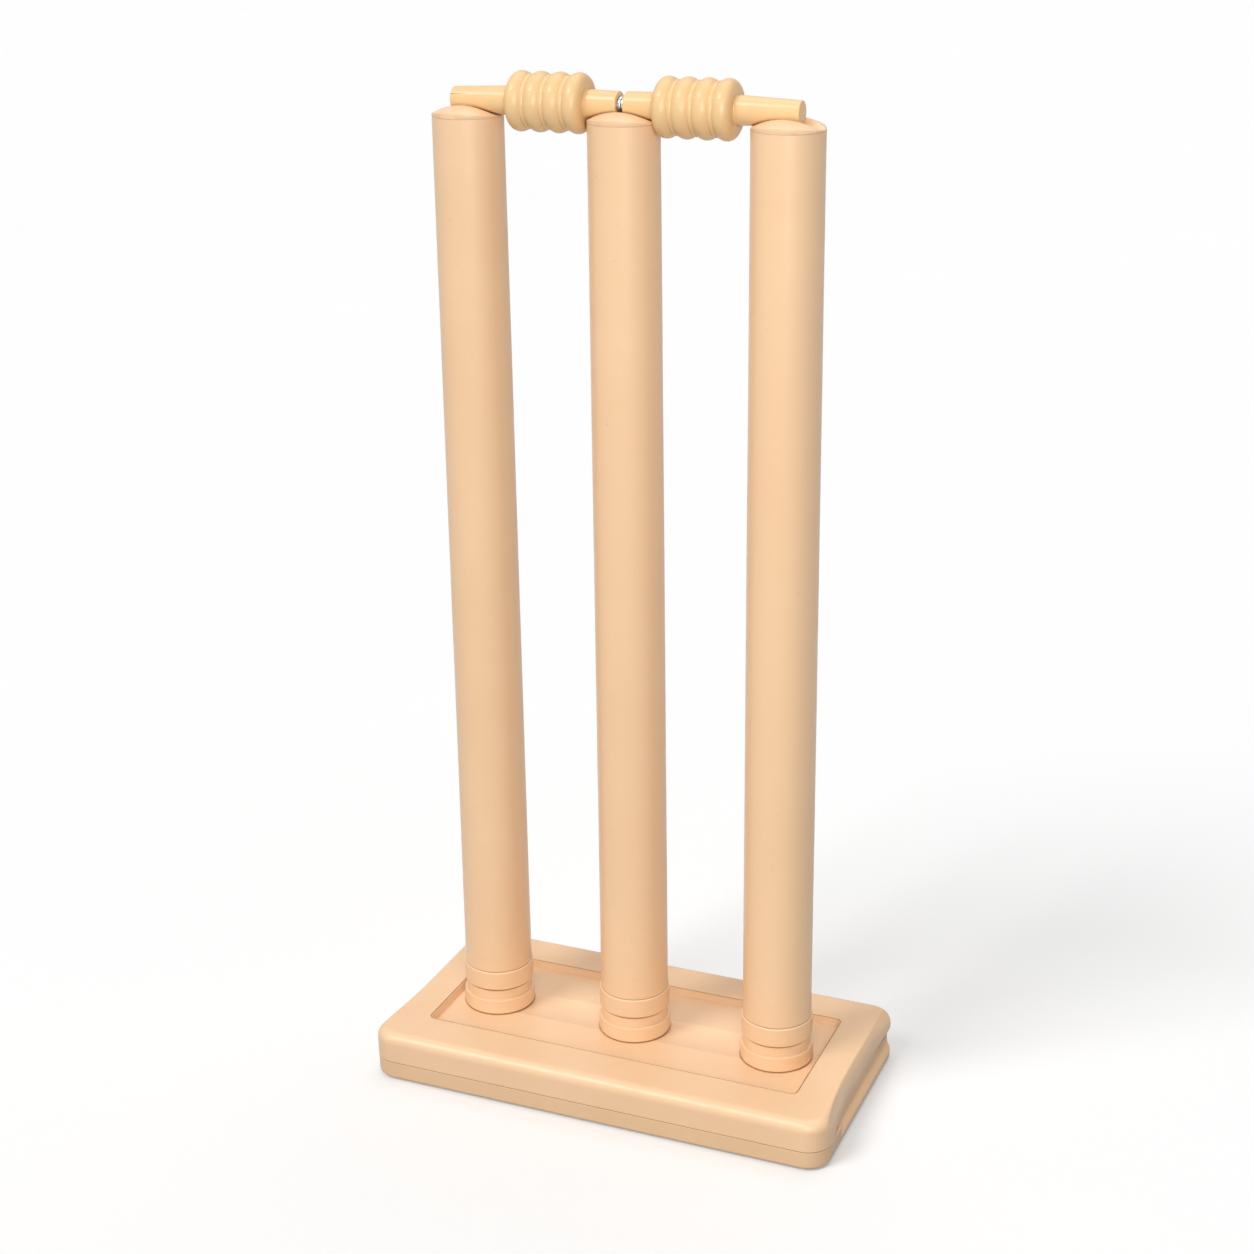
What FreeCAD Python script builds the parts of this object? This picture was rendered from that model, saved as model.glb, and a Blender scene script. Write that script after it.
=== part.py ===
import FreeCAD, Part
import math
import os
from types import SimpleNamespace

import Sketcher

# A free-standing practice wicket: three hollow stumps that plug into a weighted, two-part base,
# and two bails that lie in grooves across the tops of the stumps.
# Frame: millimetres, +X along the wicket, +Y away from the bowler's side, +Z up, origin on the
# floor below the middle stump.

SIZES = (
    # the row of stumps
    ("stump_pitch", 94.0),

    # the base as a whole
    ("base_length", 298.0),
    ("base_depth", 150.0),
    ("base_corner_radius", 15.0),
    ("base_height", 31.5),
    ("parting_height", 12.8),
    ("base_wall", 2.6),
    ("base_edge_radius", 6.5),
    ("parting_chamfer", 0.4),

    # the shallow panel in the top of the base
    ("panel_length", 243.0),
    ("panel_width", 91.0),
    ("panel_depth", 4.5),
    ("panel_corner_radius", 4.0),
    ("panel_slope_angle", 20.0),
    ("panel_edge_round", 0.8),

    # the finger grip in each end of the base
    ("grip_depth", 5.0),
    ("grip_front", 40.0),
    ("grip_straight", 3.5),
    ("grip_rise", 8.0),
    ("grip_overrun", 0.1),
    ("lip_round", 3.0),

    # the tray
    ("tray_edge_radius", 1.6),
    ("tray_floor", 2.6),
    ("rim_thickness", 1.4),
    ("rim_height", 3.0),
    ("rim_fit", 0.2),

    # ribs that stiffen the cover and hold the ballast down
    ("rib_thickness", 2.0),
    ("rib_spacing", 60.0),

    # ballast plates
    ("ballast_socket_gap", 20.0),
    ("ballast_margin", 19.0),
    ("ballast_thickness", 12.0),
    ("ballast_corner_radius", 4.0),
    ("ballast_chamfer", 1.0),
    ("ballast_clearance", 0.3),
    ("cradle_thickness", 1.8),
    ("cradle_height", 5.0),

    # screws through the tray into the cover
    ("screw_end_margin", 41.0),
    ("screw_side_margin", 11.0),
    ("screw_head_radius", 3.4),
    ("screw_head_height", 2.0),
    ("screw_shank_radius", 1.7),
    ("screw_length", 14.0),
    ("screw_point_length", 2.5),
    ("screw_fit", 0.1),
    ("screw_recess", 0.5),
    ("screw_slot_width", 0.9),
    ("screw_slot_depth", 1.2),
    ("screw_seat_thickness", 2.2),
    ("screw_boss_radius", 4.6),

    # rubber pads under the tray
    ("pad_radius", 8.0),
    ("pad_stand", 0.8),
    ("pad_inset", 0.8),
    ("pad_fit", 0.1),
    ("pad_edge", 0.4),
    ("pad_end_margin", 19.0),
    ("pad_side_margin", 20.0),

    # stump tubes
    ("tube_length", 530.5),
    ("tube_bottom_radius", 20.95),
    ("tube_top_radius", 20.45),
    ("tube_wall", 2.2),

    # stump feet
    ("peg_radius", 13.0),
    ("peg_length", 20.0),
    ("peg_chamfer", 1.2),
    ("peg_wall", 2.6),
    ("socket_fit", 0.15),
    ("socket_wall", 2.6),
    ("lower_collar_radius", 22.2),
    ("lower_collar_height", 10.0),
    ("upper_collar_radius", 21.75),
    ("upper_collar_height", 12.5),
    ("collar_round", 1.5),
    ("collar_bevel_height", 2.4),
    ("collar_bevel_curve", 2.8),
    ("neck_radius", 20.5),
    ("neck_height", 7.5),
    ("foot_web", 3.0),
    ("plug_length", 28.0),
    ("plug_fit", 0.1),

    # stump caps
    ("cap_rim", 0.9),
    ("cap_dome_rise", 6.1),
    ("cap_deck", 2.4),
    ("cap_skirt_length", 16.0),
    ("cap_skirt_wall", 2.0),
    ("groove_radius", 8.7),
    ("groove_floor", 0.8),

    # bails
    ("bail_clearance", 0.3),
    ("bail_inner_end", 2.0),
    ("bail_first_rib", 26.0),
    ("bail_rib_pitch", 11.5),
    ("bail_rib_radius", 16.5),
    ("bail_valley_depth", 2.0),
    ("bail_bead_width", 2.4),
    ("bail_bead_height", 0.5),
    ("bail_shoulder_radius", 5.1),
    ("bail_inner_end_radius", 7.5),
    ("bail_inner_root_radius", 7.9),
    ("bail_outer_root_radius", 8.1),
    ("bail_outer_length", 36.2),
    ("bail_tip_radius", 6.6),
    ("bail_end_round", 0.7),

    # steel rods in the bails
    ("rod_radius", 4.75),
    ("rod_length", 58.0),
    ("rod_gap", 0.3),
    ("rod_chamfer", 0.4),
    ("rod_fit", 0.05),
)


class Size:
    """A size with its number and the expression that a feature is bound by."""

    def __init__(self, number, text):
        self.number = float(number)
        self.text = text

    def __add__(self, other):
        other = as_size(other)
        return Size(self.number + other.number, "(%s + %s)" % (self.text, other.text))

    def __sub__(self, other):
        other = as_size(other)
        return Size(self.number - other.number, "(%s - %s)" % (self.text, other.text))

    def __mul__(self, other):
        other = as_size(other)
        return Size(self.number * other.number, "(%s * %s)" % (self.text, other.text))

    def __truediv__(self, other):
        other = as_size(other)
        return Size(self.number / other.number, "(%s / %s)" % (self.text, other.text))

    def __rsub__(self, other):
        return as_size(other) - self

    def __neg__(self):
        return Size(-self.number, "(0 - %s)" % self.text)

    __radd__ = __add__
    __rmul__ = __mul__


def as_size(value):
    if isinstance(value, Size):
        return value
    return Size(value, repr(float(value)))


doc = FreeCAD.newDocument("Wicket")
sheet = doc.addObject("Spreadsheet::Sheet", "Sizes")
for row, (alias, number) in enumerate(SIZES, start=1):
    sheet.set("A%d" % row, alias)
    sheet.set("B%d" % row, str(number))
    sheet.setAlias("B%d" % row, alias)
doc.recompute()
s = SimpleNamespace(**{alias: Size(sheet.get(alias), "Sizes." + alias) for alias, number in SIZES})


# Heights above the ground and lines that several pieces share.
panel_floor = s.base_height - s.panel_depth
cover_ceiling = panel_floor - s.base_wall
tray_floor_top = s.pad_stand + s.tray_floor
hollow_half_length = s.base_length / 2 - s.grip_depth - s.base_wall
hollow_half_depth = s.base_depth / 2 - s.base_wall
hollow_corner = s.base_corner_radius - s.base_wall
ballast_top = tray_floor_top + s.ballast_thickness
ballast_centre = s.stump_pitch / 2
ballast_half_length = ballast_centre - s.ballast_socket_gap
ballast_half_depth = s.base_depth / 2 - s.ballast_margin
screw_half_length = s.base_length / 2 - s.screw_end_margin
screw_half_depth = s.base_depth / 2 - s.screw_side_margin
pad_half_length = s.base_length / 2 - s.pad_end_margin
pad_half_depth = s.base_depth / 2 - s.pad_side_margin
screw_seat_top = tray_floor_top + s.screw_seat_thickness
socket_radius = s.peg_radius + s.socket_fit
lower_collar_top = panel_floor + s.lower_collar_height
neck_top = lower_collar_top + s.neck_height
foot_top = neck_top + s.upper_collar_height
tube_bore = s.tube_top_radius - s.tube_wall
tube_top = foot_top + s.tube_length
plug_radius = tube_bore - s.plug_fit
groove_bottom = tube_top + s.groove_floor
bail_height = groove_bottom + s.bail_clearance + s.bail_inner_root_radius
bail_last_rib = s.bail_first_rib + s.bail_rib_pitch * 3


def shape_piece(label):
    """A new piece, named as its node is."""
    body = doc.addObject("PartDesign::Body", label)
    body.Label = label
    return body


def add_sketch(body, name, role, height=None):
    """A sketch on one of the body's own origin planes, moved along the plane's normal."""
    sketch = body.newObject("Sketcher::SketchObject", name)
    plane = [item for item in body.Origin.OriginFeatures if item.Role == role][0]
    sketch.AttachmentSupport = [(plane, "")]
    sketch.MapMode = "FlatFace"
    if height is not None:
        sketch.setExpression("AttachmentOffset.Base.z", height.text)
    return sketch


def arc_between(start, end, radius, turn):
    """An arc of less than half a circle that turns left (+1) or right (-1) on its way."""
    across = (end[0] - start[0], end[1] - start[1])
    chord = math.hypot(*across)
    rise = math.sqrt(max(radius * radius - chord * chord / 4, 0.0))
    middle = ((start[0] + end[0]) / 2, (start[1] + end[1]) / 2)
    centre = FreeCAD.Vector(middle[0] - turn * rise * across[1] / chord,
                            middle[1] + turn * rise * across[0] / chord, 0)
    first, last = (start, end) if turn > 0 else (end, start)
    begin = math.atan2(first[1] - centre.y, first[0] - centre.x)
    finish = math.atan2(last[1] - centre.y, last[0] - centre.x)
    if finish < begin:
        finish += 2 * math.pi
    circle = Part.Circle(centre, FreeCAD.Vector(0, 0, 1), radius)
    return Part.ArcOfCircle(circle, begin, finish)


def draw_outline(sketch, corners):
    """A closed outline. A corner is (x, y), or (x, y, radius, turn) where an arc leads to it."""
    corners = [tuple(as_size(part) for part in corner[:3]) + tuple(corner[3:]) for corner in corners]
    count = len(corners)
    first = sketch.GeometryCount
    starts = []
    ends = []
    for index in range(count):
        before = corners[index - 1]
        corner = corners[index]
        start = (before[0].number, before[1].number)
        end = (corner[0].number, corner[1].number)
        if len(corner) == 4:
            edge = arc_between(start, end, corner[2].number, corner[3])
            starts.append(1 if corner[3] > 0 else 2)
            ends.append(2 if corner[3] > 0 else 1)
        else:
            edge = Part.LineSegment(FreeCAD.Vector(*start, 0), FreeCAD.Vector(*end, 0))
            starts.append(1)
            ends.append(2)
        sketch.addGeometry(edge, False)
    joints = []
    for index in range(count):
        after = (index + 1) % count
        joints.append(Sketcher.Constraint("Coincident", first + index, ends[index],
                                          first + after, starts[after]))
    sketch.addConstraint(joints)
    for index, corner in enumerate(corners):
        add_size(sketch, ("DistanceX", first + index, ends[index]), corner[0])
        add_size(sketch, ("DistanceY", first + index, ends[index]), corner[1])
        if len(corner) == 4:
            add_size(sketch, ("Radius", first + index), corner[2])


def draw_circle(sketch, x, y, radius):
    x, y, radius = as_size(x), as_size(y), as_size(radius)
    centre = FreeCAD.Vector(x.number, y.number, 0)
    edge = sketch.addGeometry(Part.Circle(centre, FreeCAD.Vector(0, 0, 1), radius.number), False)
    add_size(sketch, ("DistanceX", edge, 3), x)
    add_size(sketch, ("DistanceY", edge, 3), y)
    add_size(sketch, ("Radius", edge), radius)


def add_size(sketch, what, size):
    """One dimension of a sketch, bound to its expression."""
    number = sketch.addConstraint(Sketcher.Constraint(*what, size.number))
    sketch.setExpression("Constraints[%d]" % number, size.text)


def draw_rectangle(sketch, half_x, half_y, radius, centre_x=0.0, centre_y=0.0):
    """A rectangle with round corners."""
    x0, x1 = centre_x - half_x, centre_x + half_x
    y0, y1 = centre_y - half_y, centre_y + half_y
    draw_outline(sketch, (
        (x1 - radius, y0),
        (x1, y0 + radius, radius, 1),
        (x1, y1 - radius),
        (x1 - radius, y1, radius, 1),
        (x0 + radius, y1),
        (x0, y1 - radius, radius, 1),
        (x0, y0 + radius),
        (x0 + radius, y0, radius, 1),
    ))


def draw_box(sketch, half_x, half_y, centre_x=0.0, centre_y=0.0):
    x0, x1 = centre_x - half_x, centre_x + half_x
    y0, y1 = centre_y - half_y, centre_y + half_y
    draw_outline(sketch, ((x0, y0), (x1, y0), (x1, y1), (x0, y1)))


def volume(body):
    return body.Shape.Volume


def pad(body, sketch, length):
    """Adds material from the sketch upwards."""
    feature = body.newObject("PartDesign::Pad", sketch.Name + "_pad")
    feature.Profile = sketch
    feature.setExpression("Length", as_size(length).text)
    sketch.Visibility = False
    doc.recompute()
    return feature


def pocket(body, sketch, depth=None, upwards=False, both_ways=False, taper=None):
    """Takes material away below the sketch, or above it, and makes sure that some went."""
    doc.recompute()
    before = volume(body)
    feature = body.newObject("PartDesign::Pocket", sketch.Name + "_pocket")
    feature.Profile = sketch
    if depth is None:
        feature.Type = "ThroughAll"
    else:
        feature.setExpression("Length", as_size(depth).text)
    feature.Reversed = upwards
    feature.Midplane = both_ways
    if taper is not None:
        feature.setExpression("TaperAngle", taper.text)
    doc.recompute()
    if volume(body) > before - 0.01:
        raise RuntimeError("%s takes nothing away from %s" % (feature.Name, body.Label))
    return feature


def revolve(body, sketch, axis):
    feature = body.newObject("PartDesign::Revolution", sketch.Name + "_turned")
    feature.Profile = sketch
    feature.ReferenceAxis = (sketch, [axis])
    feature.Angle = 360.0
    doc.recompute()
    return feature


def edges_where(feature, test):
    """Names of the feature's edges whose ends and middle all pass a test."""
    names = []
    for index, edge in enumerate(feature.Shape.Edges, start=1):
        half = (edge.FirstParameter + edge.LastParameter) / 2
        points = [vertex.Point for vertex in edge.Vertexes] + [edge.valueAt(half)]
        if all(test(point) for point in points):
            names.append("Edge%d" % index)
    return names


def longest_reach(feature, name):
    """How far from the middle of the piece an edge reaches along its length."""
    box = feature.Shape.getElement(name).BoundBox
    return max(abs(box.XMin), abs(box.XMax))


def round_edges(body, kind, feature, edges, size):
    """A fillet or a chamfer on some edges of the feature before it."""
    finish = body.newObject("PartDesign::" + kind, "%s_%s" % (feature.Name, kind.lower()))
    finish.Base = (feature, edges)
    finish.setExpression("Radius" if kind == "Fillet" else "Size", size.text)
    doc.recompute()
    return finish


def at_height(size):
    return lambda point: abs(point.z - size.number) < 1e-4


def place(body, x, z=None):
    body.setExpression("Placement.Base.x", as_size(x).text)
    if z is not None:
        body.setExpression("Placement.Base.z", as_size(z).text)


SCREW_SPOTS = [(screw_half_length * along, screw_half_depth * side)
               for side in (-1, 1) for along in (-1, 0, 1)]
SIDES = (("left", -1), ("right", 1))
STUMPS = (("left", -1), ("middle", 0), ("right", 1))


# Base cover: the upper moulding, with the sunk panel, finger grips, sockets, ribs and bosses.
cover = shape_piece("base_cover")
outline = add_sketch(cover, "cover_outline", "XY_Plane", s.parting_height)
draw_rectangle(outline, s.base_length / 2, s.base_depth / 2, s.base_corner_radius)
block = pad(cover, outline, s.base_height - s.parting_height)
crown = round_edges(cover, "Fillet", block, edges_where(block, at_height(s.base_height)),
                    s.base_edge_radius)
seam_edges = edges_where(crown, at_height(s.parting_height))
round_edges(cover, "Chamfer", crown, seam_edges, s.parting_chamfer)

panel = add_sketch(cover, "panel", "XY_Plane", s.base_height)
draw_rectangle(panel, s.panel_length / 2, s.panel_width / 2, s.panel_corner_radius)
recess = pocket(cover, panel, s.panel_depth, taper=-s.panel_slope_angle)
panel_reach = s.panel_length / 2 + s.panel_depth
panel_edges = [name for height in (s.base_height, panel_floor)
               for name in edges_where(recess, at_height(height))
               if longest_reach(recess, name) < panel_reach.number]
round_edges(cover, "Fillet", recess, panel_edges, s.panel_edge_round)

# The grip's wall stands upright at its foot and swells out in an S to the end of the base.
grip_back = s.base_length / 2 - s.grip_depth
grip_mouth = s.base_length / 2 + s.grip_overrun
grip_foot = s.parting_height + s.grip_straight
grip_top = grip_foot + s.grip_rise
half_swell = (grip_mouth - grip_back) / 2
half_rise = s.grip_rise / 2
grip_curve = (half_swell * half_swell + half_rise * half_rise) / (half_swell * 2)
grips = add_sketch(cover, "finger_grips", "XZ_Plane", s.grip_front)
for name, side in SIDES:
    draw_outline(grips, (
        (side * grip_back, s.parting_height - 1),
        (side * (grip_mouth + 2), s.parting_height - 1),
        (side * (grip_mouth + 2), grip_top),
        (side * grip_mouth, grip_top),
        (side * (grip_back + half_swell), grip_foot + half_rise, grip_curve, -side),
        (side * grip_back, grip_foot, grip_curve, side),
    ))
pocket(cover, grips)

hollow = add_sketch(cover, "cover_hollow", "XY_Plane", s.parting_height)
draw_rectangle(hollow, hollow_half_length, hollow_half_depth, hollow_corner)
pocket(cover, hollow, cover_ceiling - s.parting_height, upwards=True)

rim_hollow = add_sketch(cover, "rim_hollow", "XY_Plane", cover_ceiling)
draw_rectangle(rim_hollow, hollow_half_length, s.base_depth / 2 - s.base_edge_radius,
               hollow_corner - s.base_wall)
draw_rectangle(rim_hollow, s.panel_length / 2 + s.base_wall, s.panel_width / 2 + s.base_wall,
               s.panel_corner_radius + s.base_wall)
pocket(cover, rim_hollow, s.panel_depth, upwards=True)

sockets = add_sketch(cover, "socket_walls", "XY_Plane", tray_floor_top)
for name, side in STUMPS:
    draw_circle(sockets, s.stump_pitch * side, 0.0, socket_radius + s.socket_wall)
pad(cover, sockets, cover_ceiling - tray_floor_top + s.base_wall / 2)

bosses = add_sketch(cover, "screw_bosses", "XY_Plane", screw_seat_top)
for x, y in SCREW_SPOTS:
    draw_circle(bosses, x, y, s.screw_boss_radius)
pad(cover, bosses, s.base_height - s.base_wall / 2 - screw_seat_top)

hold_down = ballast_top + s.ballast_clearance
long_ribs = add_sketch(cover, "long_ribs", "XY_Plane", hold_down)
for side in (-1, 1):
    draw_box(long_ribs, hollow_half_length + s.base_wall / 2, s.rib_thickness / 2,
             0.0, s.rib_spacing / 2 * side)
pad(cover, long_ribs, cover_ceiling - hold_down + s.base_wall / 2)
cross_ribs = add_sketch(cover, "cross_ribs", "XY_Plane", hold_down)
for side in (-1, 1):
    draw_box(cross_ribs, s.rib_thickness / 2, hollow_half_depth + s.base_wall / 2,
             ballast_centre * side, 0.0)
pad(cover, cross_ribs, cover_ceiling - hold_down + s.base_wall / 2)

bores = add_sketch(cover, "socket_bores", "XY_Plane", panel_floor)
for name, side in STUMPS:
    draw_circle(bores, s.stump_pitch * side, 0.0, socket_radius)
pocket(cover, bores)

pilots = add_sketch(cover, "pilot_holes", "XY_Plane", screw_seat_top)
for x, y in SCREW_SPOTS:
    draw_circle(pilots, x, y, s.screw_shank_radius + s.screw_fit)
pocket(cover, pilots, s.screw_length, upwards=True)


# Base tray: the lower moulding, with the finger lips, locating rim, ballast cradles and seats.
tray = shape_piece("base_tray")
outline = add_sketch(tray, "tray_outline", "XY_Plane", s.pad_stand)
draw_rectangle(outline, s.base_length / 2, s.base_depth / 2, s.base_corner_radius)
block = pad(tray, outline, s.parting_height - s.pad_stand)
bottom = round_edges(tray, "Fillet", block, edges_where(block, at_height(s.pad_stand)),
                     s.tray_edge_radius)
round_edges(tray, "Chamfer", bottom, edges_where(bottom, at_height(s.parting_height)),
            s.parting_chamfer)

lips = add_sketch(tray, "finger_lips", "XZ_Plane", s.grip_front)
lip_end = s.base_length / 2
lip_foot = s.parting_height - s.lip_round
for name, side in SIDES:
    draw_outline(lips, (
        (side * (lip_end - s.lip_round), s.parting_height + 1),
        (side * (lip_end - s.lip_round), s.parting_height + s.grip_overrun),
        (side * (lip_end + s.grip_overrun), lip_foot, s.lip_round * 1.4, -side),
        (side * (lip_end + 2), lip_foot),
        (side * (lip_end + 2), s.parting_height + 1),
    ))
pocket(tray, lips)

hollow = add_sketch(tray, "tray_hollow", "XY_Plane", s.parting_height)
draw_rectangle(hollow, hollow_half_length, hollow_half_depth, hollow_corner)
pocket(tray, hollow, s.parting_height - tray_floor_top)

rim = add_sketch(tray, "locating_rim", "XY_Plane", tray_floor_top)
draw_rectangle(rim, hollow_half_length - s.rim_fit, hollow_half_depth - s.rim_fit,
               hollow_corner - s.rim_fit)
inner = s.rim_fit + s.rim_thickness
draw_rectangle(rim, hollow_half_length - inner, hollow_half_depth - inner, hollow_corner - inner)
pad(tray, rim, s.parting_height + s.rim_height - tray_floor_top)

cradles = add_sketch(tray, "ballast_cradles", "XY_Plane", tray_floor_top)
cradle_half_length = ballast_half_length + s.ballast_clearance
cradle_half_depth = ballast_half_depth + s.ballast_clearance
for name, side in SIDES:
    draw_box(cradles, cradle_half_length + s.cradle_thickness,
             cradle_half_depth + s.cradle_thickness, ballast_centre * side)
    draw_box(cradles, cradle_half_length, cradle_half_depth, ballast_centre * side)
pad(tray, cradles, s.cradle_height)

seats = add_sketch(tray, "screw_seats", "XY_Plane", tray_floor_top)
for x, y in SCREW_SPOTS:
    draw_circle(seats, x, y, s.screw_boss_radius)
pad(tray, seats, s.screw_seat_thickness)

heads = add_sketch(tray, "head_recesses", "XY_Plane", s.pad_stand)
for x, y in SCREW_SPOTS:
    draw_circle(heads, x, y, s.screw_head_radius + s.screw_fit)
pocket(tray, heads, s.screw_head_height + s.screw_recess, upwards=True)

shanks = add_sketch(tray, "shank_holes", "XY_Plane", s.pad_stand)
for x, y in SCREW_SPOTS:
    draw_circle(shanks, x, y, s.screw_shank_radius + s.screw_fit)
pocket(tray, shanks, upwards=True)

pad_beds = add_sketch(tray, "pad_beds", "XY_Plane", s.pad_stand)
for along in (-1, 1):
    for side in (-1, 1):
        draw_circle(pad_beds, pad_half_length * along, pad_half_depth * side,
                    s.pad_radius + s.pad_fit)
pocket(tray, pad_beds, s.pad_inset, upwards=True)


# Rubber pads: they sit in beds in the tray and keep it just off the ground.
for row, side in (("front", -1), ("rear", 1)):
    for name, along in SIDES:
        foot_pad = shape_piece("foot_pad_%s_%s" % (row, name))
        disc = add_sketch(foot_pad, "pad_disc_%s_%s" % (row, name), "XY_Plane")
        draw_circle(disc, pad_half_length * along, pad_half_depth * side, s.pad_radius)
        rubber = pad(foot_pad, disc, s.pad_stand + s.pad_inset)
        round_edges(foot_pad, "Chamfer", rubber,
                    edges_where(rubber, lambda point: abs(point.z) < 1e-4), s.pad_edge)


# Ballast: a flat steel plate each side of the middle socket.
for name, side in SIDES:
    ballast = shape_piece("ballast_" + name)
    plate = add_sketch(ballast, "plate_" + name, "XY_Plane", tray_floor_top)
    draw_rectangle(plate, ballast_half_length, ballast_half_depth, s.ballast_corner_radius,
                   ballast_centre * side)
    steel = pad(ballast, plate, s.ballast_thickness)
    round_edges(ballast, "Chamfer", steel, edges_where(steel, at_height(ballast_top)),
                s.ballast_chamfer)


# Screws: pan heads sunk in the tray, shanks up into the bosses of the cover, one group.
head_bottom = s.pad_stand + s.screw_recess
head_top = head_bottom + s.screw_head_height
shank_top = head_top + s.screw_length - s.screw_point_length
metal = []
slots = []
for index, (x, y) in enumerate(SCREW_SPOTS):
    head = doc.addObject("Part::Cylinder", "screw_head_%d" % index)
    head.setExpression("Radius", s.screw_head_radius.text)
    head.setExpression("Height", s.screw_head_height.text)
    head.setExpression("Placement.Base.z", head_bottom.text)
    shank = doc.addObject("Part::Cylinder", "screw_shank_%d" % index)
    shank.setExpression("Radius", s.screw_shank_radius.text)
    shank.setExpression("Height", (shank_top - head_top).text)
    shank.setExpression("Placement.Base.z", head_top.text)
    point = doc.addObject("Part::Cone", "screw_point_%d" % index)
    point.setExpression("Radius1", s.screw_shank_radius.text)
    point.setExpression("Radius2", (s.screw_shank_radius / 5).text)
    point.setExpression("Height", s.screw_point_length.text)
    point.setExpression("Placement.Base.z", shank_top.text)
    metal += [head, shank, point]
    for item in (head, shank, point):
        item.setExpression("Placement.Base.x", x.text)
        item.setExpression("Placement.Base.y", y.text)
    for turned in (0, 1):
        long_side = s.screw_head_radius * 1.2
        slot = doc.addObject("Part::Box", "screw_slot_%d_%d" % (index, turned))
        spans = (long_side, s.screw_slot_width) if turned else (s.screw_slot_width, long_side)
        slot.setExpression("Length", spans[0].text)
        slot.setExpression("Width", spans[1].text)
        slot.setExpression("Height", (s.screw_slot_depth + 1).text)
        slot.setExpression("Placement.Base.x", (x - spans[0] / 2).text)
        slot.setExpression("Placement.Base.y", (y - spans[1] / 2).text)
        slot.setExpression("Placement.Base.z", (head_bottom - 1).text)
        slots.append(slot)
screw_metal = doc.addObject("Part::MultiFuse", "screw_metal")
screw_metal.Shapes = metal
screw_slots = doc.addObject("Part::MultiFuse", "screw_slots")
screw_slots.Shapes = slots
screws = doc.addObject("Part::Cut", "tray_screws")
screws.Label = "tray_screws"
screws.Base = screw_metal
screws.Tool = screw_slots
doc.recompute()


# Stumps: a foot with two collars and a hollow peg, a hollow tube, and a domed cap with a groove.
core_radius = s.peg_radius - s.peg_wall
plug_core = plug_radius - s.peg_wall
peg_bottom = panel_floor - s.peg_length
web_bottom = neck_top + s.foot_web
web_top = web_bottom + s.foot_web
cap_bottom = tube_top - s.cap_deck
skirt_bottom = cap_bottom - s.cap_skirt_length
dome_foot = tube_top + s.cap_rim
dome_radius = (s.tube_top_radius * s.tube_top_radius + s.cap_dome_rise * s.cap_dome_rise) \
    / (s.cap_dome_rise * 2)
for name, side in STUMPS:
    foot = shape_piece("stump_foot_" + name)
    section = add_sketch(foot, "foot_section_" + name, "XZ_Plane")
    draw_outline(section, (
        (core_radius, peg_bottom),
        (s.peg_radius - s.peg_chamfer, peg_bottom),
        (s.peg_radius, peg_bottom + s.peg_chamfer),
        (s.peg_radius, panel_floor),
        (s.lower_collar_radius, panel_floor),
        (s.lower_collar_radius, lower_collar_top - s.collar_round),
        (s.lower_collar_radius - s.collar_round, lower_collar_top, s.collar_round, 1),
        (s.neck_radius, lower_collar_top),
        (s.neck_radius, neck_top),
        (s.upper_collar_radius, neck_top),
        (s.upper_collar_radius, foot_top - s.collar_bevel_height),
        (s.tube_bottom_radius, foot_top, s.collar_bevel_curve, 1),
        (plug_radius, foot_top),
        (plug_radius, foot_top + s.plug_length - s.peg_chamfer),
        (plug_radius - s.peg_chamfer, foot_top + s.plug_length),
        (plug_core, foot_top + s.plug_length),
        (plug_core, web_top),
        (0.0, web_top),
        (0.0, web_bottom),
        (core_radius, web_bottom),
    ))
    revolve(foot, section, "V_Axis")
    place(foot, s.stump_pitch * side)

    tube = shape_piece("stump_tube_" + name)
    section = add_sketch(tube, "tube_section_" + name, "XZ_Plane")
    draw_outline(section, (
        (tube_bore, foot_top),
        (s.tube_bottom_radius, foot_top),
        (s.tube_top_radius, tube_top),
        (tube_bore, tube_top),
    ))
    revolve(tube, section, "V_Axis")
    place(tube, s.stump_pitch * side)

    cap = shape_piece("stump_cap_" + name)
    section = add_sketch(cap, "cap_section_" + name, "XZ_Plane")
    draw_outline(section, (
        (0.0, cap_bottom),
        (plug_radius - s.cap_skirt_wall, cap_bottom),
        (plug_radius - s.cap_skirt_wall, skirt_bottom),
        (plug_radius, skirt_bottom),
        (plug_radius, tube_top),
        (s.tube_top_radius, tube_top),
        (s.tube_top_radius, dome_foot),
        (0.0, dome_foot + s.cap_dome_rise, dome_radius, 1),
    ))
    revolve(cap, section, "V_Axis")
    channel = add_sketch(cap, "bail_groove_" + name, "YZ_Plane")
    draw_circle(channel, 0.0, groove_bottom + s.groove_radius, s.groove_radius)
    pocket(cap, channel, both_ways=True)
    place(cap, s.stump_pitch * side)


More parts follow.
